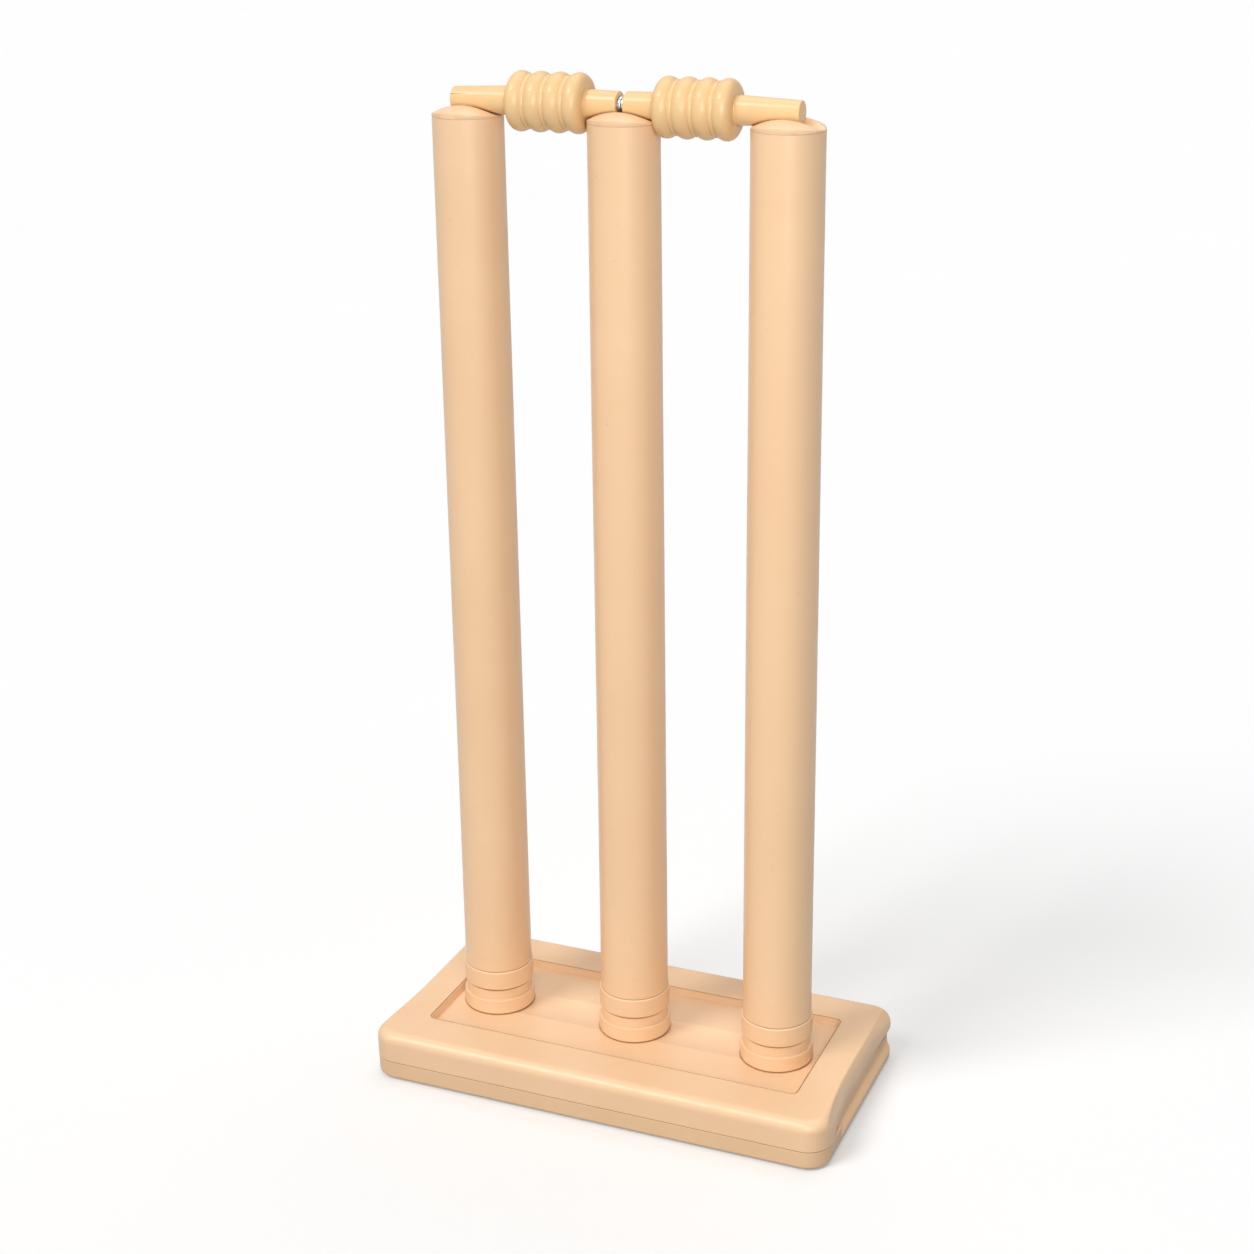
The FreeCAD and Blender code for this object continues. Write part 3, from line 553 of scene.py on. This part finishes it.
def make_tray():
    shell = Shell()
    bottom = [np.array((5.0, GROUND_GAP)), np.array((3.4, GROUND_GAP))]
    bottom += arc((TRAY_EDGE, GROUND_GAP + TRAY_EDGE), -TRAY_EDGE, 90, 0, 7)
    bottom += [np.array((0.0, z)) for z in
               (3.2, 4.0, 4.6, 5.0, 5.4, 5.8, 6.1, 6.35, 6.55, 6.75, 6.95, 7.2, 7.6, 8.2, 9.0, 10.0,
                11.0, 11.8)]
    bottom = [point + (draft(point[1]), 0.0) for point in bottom]
    top = [(0.0, 12.1), (0.08, SEAM - 0.48), (0.28, SEAM - 0.36), (1.3, SEAM - 0.33), (2.0, SEAM - 0.3),
           (4.9, SEAM - 0.1), (5.6, SEAM)]
    bottom += [(inset + draft(z), z) for inset, z in top]
    rings = []
    for inset, z in bottom:
        lowered = ease(z, 11.9, 12.5)
        rings.append([tray_point(*point, lowered) for point in rounded(HALF, CORNER, inset, z)])
    rows = shell.stack(rings)
    inner = shell.stack([rounded(INNER, INNER_CORNER, 0.0, z) for z in (SEAM, SEAM - 1, TRAY_FLOOR)])
    shell.bridge(rows[-1], inner[0])

    below = []
    above = []
    for along in (-1, 1):
        for side in (-1, 1):
            spot = upright(PAD_PLACE[0] * along, PAD_PLACE[1] * side)
            walls = ((PAD_BED + 0.4, GROUND_GAP), (PAD_BED, GROUND_GAP + 0.3), (PAD_BED, GROUND_GAP + 0.8))
            bed = shell.stack([[spot(radius, angle, z) for angle in TURN[::2]] for radius, z in walls])
            shell.fill(bed[-1])
            below.append(bed[0])
    for x, y in SCREW_SPOTS:
        spot = upright(x, y)
        hole = [(SCREW_HEAD_BORE + 0.3, GROUND_GAP), (SCREW_HEAD_BORE, GROUND_GAP + 0.3),
                (SCREW_HEAD_BORE, 3.3), (SCREW_BORE, 3.3), (SCREW_BORE, BOSS_BOTTOM),
                (BOSS_RADIUS - 0.3, BOSS_BOTTOM), (BOSS_RADIUS, BOSS_BOTTOM - 0.3),
                (BOSS_RADIUS, TRAY_FLOOR)]
        tube = shell.stack([[spot(radius, angle, z) for angle in TURN[::4]] for radius, z in hole])
        below.append(tube[0])
        above.append(tube[-1])
    shell.fill(rows[0], below)
    shell.fill(inner[-1], above)
    rim = [rounded(INNER, INNER_CORNER, inset, z) for inset, z in
           ((0.2, TRAY_FLOOR - 1), (0.2, 15.4), (0.5, 15.8), (1.3, 15.8), (1.6, 15.4),
            (1.6, TRAY_FLOOR - 1))]
    rows = shell.stack(rim)
    shell.bridge(rows[-1], rows[0])
    for _, side in SIDES:
        cradle = [rounded(CRADLE, 2.0, inset, z, PITCH / 2 * side) for inset, z in
                  ((0.0, TRAY_FLOOR - 1), (0.0, CRADLE_TOP), (CRADLE_WALL, CRADLE_TOP),
                   (CRADLE_WALL, TRAY_FLOOR - 1))]
        rows = shell.stack(cradle)
        shell.bridge(rows[-1], rows[0])
    return shell


make_cover().piece("base_cover_shell", "base", "base_plastic", BASE_PLASTIC, ["base_cover"])
make_tray().piece("base_tray_shell", "base", "base_plastic", TRAY_PLASTIC, ["base_tray"])


# Rubber pads with a ring of tread.
for row, side in (("front", -1), ("rear", 1)):
    for name, along in SIDES:
        disc = [(0.0, 0.25), (2.6, 0.25, 0.1), (3.0, 0.0, 0.1), (6.0, 0.0, 0.1), (6.3, 0.3, 0.1),
                (6.7, 0.3, 0.1), (7.0, 0.0, 0.1), (7.6, 0.0, 0.2), (PAD_RADIUS, 0.4, 0.2),
                (PAD_RADIUS, 1.6, 0.1), (0.0, 1.6)]
        rubber = Shell()
        rubber.turn(soften(disc, steps=2), upright(PAD_PLACE[0] * along, PAD_PLACE[1] * side), TURN[::2])
        rubber.piece("pad_%s_%s" % (row, name), "base", "pad_rubber", RUBBER,
                     ["foot_pad_%s_%s" % (row, name)])


# Ballast and screws keep their CAD shapes.
for name, material in (("ballast_left", PLATE_STEEL), ("ballast_right", PLATE_STEEL),
                       ("tray_screws", SCREW_STEEL)):
    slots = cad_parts[name].material_slots
    if not slots:
        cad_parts[name].data.materials.append(material)
    for slot in slots:
        slot.material = material


# Stumps.
def waver(phase):
    """A tube is never quite round: a few hundredths of a millimetre over long distances."""
    def wave(radius, angle, height):
        if radius < TUBE_BORE + 0.75 or height < TUBE_BOTTOM + 1 or height > TUBE_TOP - 1:
            return 0.0
        return (0.030 * math.sin(2 * angle + height * 0.013 + phase)
                + 0.018 * math.sin(3 * angle - height * 0.031 + 2 * phase)
                + 0.010 * math.sin(height * 0.09 + phase) - 0.02)
    return wave


def add_pip(shell, place, angle, height, size):
    """A low round mark that the mould leaves on a tube."""
    out = Vector((math.cos(angle), math.sin(angle), 0))
    radius = TUBE_RADIUS - 0.8 * (height - TUBE_BOTTOM) / (TUBE_TOP - TUBE_BOTTOM)
    centre = Vector((PITCH * place, 0, height)) + out * (radius - 0.25)
    across = Vector((-out.y, out.x, 0))

    def spot(r, a, h):
        return centre + across * (r * math.cos(a)) + Vector((0, 0, r * math.sin(a))) + out * h

    bead = [(0.0, 0.0), (size, 0.0, 0.1), (size * 0.95, 0.32, 0.2), (size * 0.55, 0.5, 0.2),
            (0.0, 0.42)]
    shell.turn(soften(bead, steps=3), spot, TURN[::8])


def make_tube(place, phase, marks):
    outline = brace(soften([(TUBE_BORE, TUBE_BOTTOM, 0.3), (TUBE_RADIUS, TUBE_BOTTOM, 0.3),
                            (CAP_RADIUS, TUBE_TOP, 0.15), (TUBE_BORE, TUBE_TOP, 0.3)]), longest=14.0)
    shell = Shell()
    shell.turn(outline, upright(PITCH * place, 0.0, waver(phase)))
    for mark in marks:
        add_pip(shell, place, *mark)
    return shell


def make_foot(place):
    outline = soften([
        (STEM_BORE, STEM_BOTTOM, 0.4), (STEM_RADIUS, STEM_BOTTOM, 1.4), (STEM_RADIUS, PANEL_FLOOR, 0.2),
        (21.6, PANEL_FLOOR), (22.2, PANEL_FLOOR + 0.9, 0.4), (22.25, 31.0, 3.0),
        (22.1, LOWER_COLLAR_TOP, 1.9), (NECK_RADIUS, LOWER_COLLAR_TOP, 0.5),
        (NECK_RADIUS - 0.1, 43.0, 0.25), (19.0, 43.5, 0.2), (19.0, 44.3, 0.2),
        (21.4, UPPER_COLLAR_BOTTOM), (COLLAR_RADIUS, 45.1, 0.4), (21.8, 49.0, 3.0),
        (COLLAR_RADIUS, TUBE_BOTTOM - 0.6, 1.8), (20.2, TUBE_BOTTOM, 0.3),
        (PLUG_RADIUS, TUBE_BOTTOM), (PLUG_RADIUS, FOOT_PLUG_TOP, 1.2), (15.5, FOOT_PLUG_TOP, 0.4),
        (15.5, 50.5, 0.4), (0.0, 50.5), (0.0, 47.5), (STEM_BORE, 47.5, 0.4)], steps=6)
    shell = Shell()
    shell.turn(brace(outline), upright(PITCH * place, 0.0))
    return shell


def cap_height(x, y):
    """The arched top, with the bail groove cut along it and a soft lip between the two."""
    dome = ARCH_TOP - 0.0150 * x * x - 0.0090 * y * y
    if abs(y) >= GROOVE_RADIUS - 0.01:
        return dome
    groove = TUBE_TOP + 0.8 + GROOVE_RADIUS - math.sqrt(GROOVE_RADIUS ** 2 - y * y)
    soft = 0.9
    near = max(soft - abs(dome - groove), 0.0) / soft
    return min(dome, groove) - near * near * soft / 4


def make_cap(place, phase):
    edge = 0.45
    top = CAP_RADIUS - edge
    lip = 24.4
    turns = np.radians(np.concatenate([np.linspace(-90, -lip - 7, 16),
                                       np.linspace(-lip - 6, -lip + 6, 19),
                                       np.linspace(-lip + 7.5, 0, 10)]))
    turns = np.concatenate([turns, -turns[-2::-1]])
    columns = np.sin(np.radians(np.linspace(-90, 90, 49)))
    shell = Shell()
    centre_x = PITCH * place
    rows = []
    for turn in turns:
        y = top * math.sin(turn)
        width = top * math.cos(turn)
        if width < 1e-6:
            rows.append(shell.row([(centre_x, y, cap_height(0.0, y))]))
        else:
            rows.append(shell.row([(centre_x + width * c, y, cap_height(width * c, y))
                                   for c in columns]))
    for low, high in zip(rows, rows[1:]):
        if len(low) == 1:
            low = low * len(columns)
        if len(high) == 1:
            high = high * len(columns)
        for index in range(len(columns) - 1):
            corners = [low[index], low[index + 1], high[index + 1], high[index]]
            shell.faces.append(tuple(dict.fromkeys(corners)))
    rim = [rows[0][0]] + [row[-1] for row in rows[1:-1]] + [rows[-1][0]]
    rim += [row[0] for row in reversed(rows[1:-1])]
    edge_points = [shell.points[number] for number in rim]
    angles = [math.atan2(y, x - centre_x) for x, y, z in edge_points]

    def ring(radius, height):
        return [(centre_x + radius * math.cos(a), radius * math.sin(a), height) for a in angles]

    last = rim
    for bend in (25, 50, 75, 90):
        bend = math.radians(bend)
        reach = top + edge * math.sin(bend)
        level = [(centre_x + reach * math.cos(a), reach * math.sin(a),
                  z - edge * (1 - math.cos(bend))) for a, (x, y, z) in zip(angles, edge_points)]
        row = shell.row(level)
        shell.bridge(last, row)
        last = row
    bead = [(centre_x + (CAP_RADIUS + 0.08 * max(0.0, math.sin(3 * a + phase))) * math.cos(a),
             (CAP_RADIUS + 0.08 * max(0.0, math.sin(3 * a + phase))) * math.sin(a),
             TUBE_TOP + 0.22) for a in angles]
    skirt = [bead, ring(CAP_RADIUS - 0.08, TUBE_TOP + 0.06), ring(CAP_RADIUS - 0.35, TUBE_TOP),
             ring(PLUG_RADIUS, TUBE_TOP), ring(PLUG_RADIUS, CAP_PLUG_BOTTOM + 1),
             ring(17.5, CAP_PLUG_BOTTOM), ring(CAP_BORE, CAP_PLUG_BOTTOM), ring(CAP_BORE, CAP_CEILING)]
    for level in skirt:
        row = shell.row(level)
        shell.bridge(last, row)
        last = row
    shell.fan(last, shell.row([(centre_x, 0.0, CAP_CEILING)])[0])
    return shell


# The mould's marks on each tube, as (angle, height, radius).
MARKS = {
    "left": [(-1.52, 66.0, 0.75), (-1.62, 67.2, 0.45)],
    "middle": [(-1.20, 71.0, 0.8)],
    "right": [(-1.33, 73.0, 0.8)],
}
for number, (name, place) in enumerate(STUMPS):
    phase = 1.7 * number + 0.4
    for kind, shell in (("tube", make_tube(place, phase, MARKS[name])), ("foot", make_foot(place)),
                        ("cap", make_cap(place, phase))):
        shell.piece(kind + "_" + name, name + "_stump", "stump_plastic", STUMP_PLASTIC,
                    ["stump_" + kind + "_" + name])


# Bails, with the mould's parting ridge along them and a short split in the left one's tip.
def bail_outline():
    """(radius, distance from the middle of the wicket) round half a section of a bail."""
    half_rib = (RIB_PITCH - 2.4) / 2
    curve = (half_rib ** 2 + 4.0) / 4.0
    swing = math.degrees(math.asin(half_rib / curve))
    bead_curve = (1.44 + 0.25) / 1.0
    bead_swing = math.degrees(math.asin(1.2 / bead_curve))
    shoulder = 5.1
    points = [(ROD_BORE, 2.0), (6.8, 2.0), (7.3, 2.2), (7.5, 2.7), (7.88, 20.4), (8.1, 20.75),
              (8.6, 20.9), (10.6, 20.75)]
    points += [(r, h) for h, r in arc((CREST, RIB_RADIUS - shoulder), shoulder, 175, 90, 12)]
    for gap in range(3):
        middle = CREST + RIB_PITCH * gap
        points += [(r, h) for h, r in arc((middle, RIB_RADIUS - curve), curve, 90, 90 - swing, 8)[1:]]
        bead = (middle + half_rib + 1.2, VALLEY_RADIUS + 0.5 - bead_curve)
        points += [(r, h) for h, r in arc(bead, bead_curve, 90 + bead_swing, 90 - bead_swing, 6)[1:]]
        points += [(r, h) for h, r in arc((middle + RIB_PITCH, RIB_RADIUS - curve), curve, 90 + swing, 90,
                                          8)[1:]]
    last = CREST + 3 * RIB_PITCH
    points += [(r, h) for h, r in arc((last, RIB_RADIUS - shoulder), shoulder, 90, 5, 12)[1:]]
    points += [(10.6, last + 5.25), (8.8, last + 5.1), (8.3, last + 5.25), (8.1, last + 5.7)]
    tip = last + shoulder + 36.2
    points += [(6.62, tip - 0.7), (6.4, tip - 0.2), (5.9, tip), (1.4, tip), (1.25, tip - 0.25),
               (0.0, tip - 0.25), (0.0, ROD_BORE_END), (ROD_BORE, ROD_BORE_END)]
    result = []
    count = len(points)
    for index, point in enumerate(points):
        before, after = np.array(points[index - 1]), np.array(points[(index + 1) % count])
        one, two = np.array(point) - before, after - np.array(point)
        turn = math.acos(max(-1.0, min(1.0, float(one @ two)
                                       / (np.linalg.norm(one) * np.linalg.norm(two)))))
        result.append(tuple(point) + ((0.35,) if turn > 0.5 and point[0] > 1.0 else (0.0,)))
    return brace(soften(result, steps=3), gap=0.3, longest=4.0)


def lengthwise(side):
    """Places a point of a piece that lies along the bails' axis."""
    def place(radius, angle, along):
        off = (angle - RIDGE + math.pi) % (2 * math.pi) - math.pi
        back = (angle - RIDGE) % (2 * math.pi) - math.pi
        if radius > 6.0:
            for turn in (off, back):
                radius += 0.07 * math.exp(-(turn * radius / 0.35) ** 2)
            if side < 0 and along > 89.0:
                slit = (along - 89.0) / 12.8
                radius -= 0.55 * slit * math.exp(-((off + 0.02 * (1 - slit)) * radius / 0.22) ** 2)
        return (side * along, radius * math.cos(angle), BAIL_HEIGHT + radius * math.sin(angle))
    return place


near_ridge = [RIDGE + math.radians(step) for step in (-3.2, -2.2, -1.4, -0.7, 0, 0.7, 1.4, 2.2, 3.2)]
near_ridge += [angle - math.pi for angle in near_ridge]
BAIL_TURN = sorted(set(round(angle % (2 * math.pi), 5) for angle in near_ridge)
                   | set(round(float(angle), 5) for angle in TURN
                         if min(abs((angle - spot + math.pi) % (2 * math.pi) - math.pi)
                                for spot in near_ridge) > 0.02))
for name, side in SIDES:
    shell = Shell()
    shell.turn(bail_outline(), lengthwise(side), BAIL_TURN)
    shell.piece("bail_body_" + name, name + "_bail", "bail_plastic", BAIL_PLASTIC, ["bail_" + name])

    rod = [(0.0, 0.15), (3.1, 0.15, 0.1), (3.3, 0.35, 0.1), (3.6, 0.35, 0.1), (3.8, 0.15, 0.1),
           (ROD_RADIUS, 0.15, 0.35), (ROD_RADIUS, 1.1), (4.62, 1.2), (4.62, 1.45), (ROD_RADIUS, 1.55),
           (ROD_RADIUS, ROD_END, 0.4), (0.0, ROD_END)]
    steel = Shell()
    steel.turn(brace(soften(rod, steps=3)), lengthwise(side), TURN)
    steel.piece("rod_" + name, name + "_bail", "rod_steel", ROD_STEEL, ["bail_rod_" + name])


# Camera: where the photograph was taken from.
def aim_camera():
    azimuth, elevation, roll = (math.radians(value) for value in CAMERA_ANGLES)
    forward = Vector((-math.sin(azimuth) * math.cos(elevation),
                      math.cos(azimuth) * math.cos(elevation), -math.sin(elevation)))
    level = forward.cross(Vector((0, 0, 1))).normalized()
    above = level.cross(forward)
    right = level * math.cos(roll) + above * math.sin(roll)
    up = above * math.cos(roll) - level * math.sin(roll)
    data = bpy.data.cameras.new("camera")
    data.sensor_width = 36.0
    data.lens = FOCAL_PIXELS / FRAME_PIXELS * data.sensor_width
    data.clip_end = 100.0
    camera = bpy.data.objects.new("camera", data)
    turn = Matrix((right, up, -forward)).transposed().to_4x4()
    camera.matrix_world = Matrix.Translation(Vector(CAMERA_PLACE) * MM) @ turn
    bpy.context.scene.collection.objects.link(camera)
    bpy.context.scene.camera = camera


# Stage: a pale floor that keeps the shadow, three soft lamps and an even sky.
def seen_directly(tree):
    """1 for what the camera sees, also in a reflection or through glass; 0 for what lights."""
    path = tree.nodes.new("ShaderNodeLightPath")
    last = path.outputs["Is Camera Ray"]
    for ray in ("Is Glossy Ray", "Is Transmission Ray"):
        either = tree.nodes.new("ShaderNodeMath")
        either.operation = "MAXIMUM"
        tree.links.new(last, either.inputs[0])
        tree.links.new(path.outputs[ray], either.inputs[1])
        last = either.outputs["Value"]
    return last


def make_floor():
    look = Look("floor_paper")
    tree = look.tree
    tree.nodes.remove(look.shader)
    output = tree.nodes["Material Output"]
    tone = look.spread(look.noise(3.0), 0.3, 0.7, 0.0, 1.0)
    shown = look.add("ShaderNodeBsdfDiffuse")
    look.link(look.mix(tone, (0.80, 0.80, 0.80), (0.79, 0.79, 0.79)), shown.inputs["Color"])
    glow = look.add("ShaderNodeEmission")
    glow.inputs["Strength"].default_value = FLOOR_GLOW
    both = look.add("ShaderNodeAddShader")
    look.link(shown.outputs["BSDF"], both.inputs[0])
    look.link(glow.outputs["Emission"], both.inputs[1])
    dim = look.add("ShaderNodeBsdfDiffuse")
    look.link(look.mix(tone, (0.42, 0.42, 0.42), (0.40, 0.40, 0.40)), dim.inputs["Color"])
    choose = look.add("ShaderNodeMixShader")
    look.link(seen_directly(tree), choose.inputs["Fac"])
    look.link(dim.outputs["BSDF"], choose.inputs[1])
    look.link(both.outputs["Shader"], choose.inputs[2])
    look.link(choose.outputs["Shader"], output.inputs["Surface"])
    mesh = bpy.data.meshes.new("floor")
    size = 30.0
    mesh.from_pydata([(-size, -size, 0), (size, -size, 0), (size, size, 0), (-size, size, 0)], [],
                     [(0, 1, 2, 3)])
    mesh.materials.append(look.material)
    floor = bpy.data.objects.new("floor", mesh)
    bpy.context.scene.collection.objects.link(floor)


def make_sky():
    world = bpy.data.worlds.new("studio")
    bpy.context.scene.world = world
    world.use_nodes = True
    tree = world.node_tree
    soft = tree.nodes["Background"]
    soft.inputs["Color"].default_value = (1.0, 1.0, 1.0, 1.0)
    soft.inputs["Strength"].default_value = SKY_LIGHT
    white = tree.nodes.new("ShaderNodeBackground")
    white.inputs["Color"].default_value = (1.0, 1.0, 1.0, 1.0)
    white.inputs["Strength"].default_value = 1.0
    choose = tree.nodes.new("ShaderNodeMixShader")
    tree.links.new(seen_directly(tree), choose.inputs["Fac"])
    tree.links.new(soft.outputs["Background"], choose.inputs[1])
    tree.links.new(white.outputs["Background"], choose.inputs[2])
    tree.links.new(choose.outputs["Shader"], tree.nodes["World Output"].inputs["Surface"])


def make_sun(name, direction, strength, spread):
    data = bpy.data.lights.new(name, "SUN")
    data.energy = strength
    data.angle = math.radians(spread)
    sun = bpy.data.objects.new(name, data)
    sun.rotation_euler = Vector(direction).to_track_quat("Z", "Y").to_euler()
    bpy.context.scene.collection.objects.link(sun)


def make_softbox(name, place, target, size, power):
    """A square lamp that lights the object, not the floor."""
    data = bpy.data.lights.new(name, "AREA")
    data.shape = "SQUARE"
    data.size = size
    data.energy = power
    lamp = bpy.data.objects.new(name, data)
    lamp.location = place
    turn = (Vector(place) - Vector(target)).to_track_quat("Z", "Y")
    lamp.rotation_euler = turn.to_euler()
    bpy.context.scene.collection.objects.link(lamp)
    spared = bpy.data.collections.new(name + "_spares")
    spared.objects.link(bpy.data.objects["floor"])
    spared.collection_objects[0].light_linking.link_state = "EXCLUDE"
    lamp.light_linking.receiver_collection = spared


make_floor()
make_sky()
make_sun("key", (-0.38, -0.53, 0.76), 1.50, 24)
make_softbox("front", (0.62, -1.38, 0.90), (0.0, 0.0, 0.36), 0.8, 16.3)
make_sun("overhead", (0.0, 0.34, 0.94), 0.95, 50)
aim_camera()
bpy.context.scene.view_settings.view_transform = "Standard"
